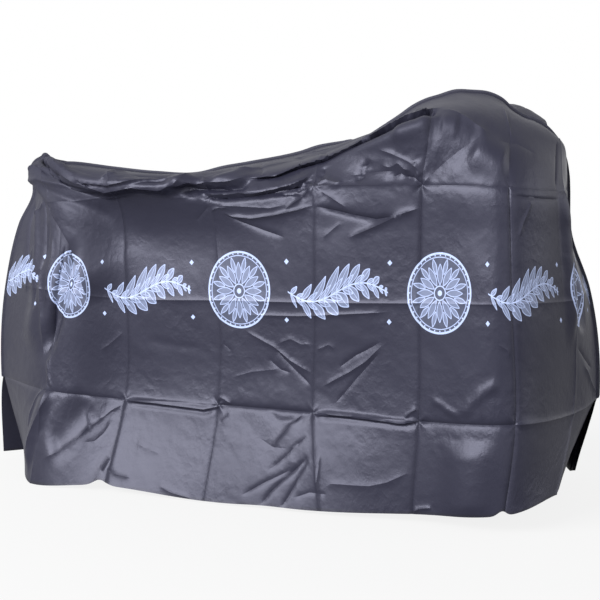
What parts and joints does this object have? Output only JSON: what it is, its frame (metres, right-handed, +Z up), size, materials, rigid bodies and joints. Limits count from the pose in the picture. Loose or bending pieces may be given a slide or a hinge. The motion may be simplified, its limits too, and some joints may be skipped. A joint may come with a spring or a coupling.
{
  "type": "motorcycle cover",
  "caption": "Draped rain cover for a small motorcycle: welded side panels of thin dark film, open below, hollow, with a raised hump over the handlebars.",
  "frame": {"origin": "the point just under the weld at the crown of the cover, where the handlebars hold it up", "axes": "+X towards the front wheel, +Y to the machine's left, +Z up"},
  "size_m": [1.5583, 0.7149, 0.9409],
  "materials": {
    "film": "satin, finely embossed soft plastic film with a pale printed band"
  },
  "bodies": {
    "root": {"right_panel": "film", "left_panel": "film"}
  },
  "joints": []
}
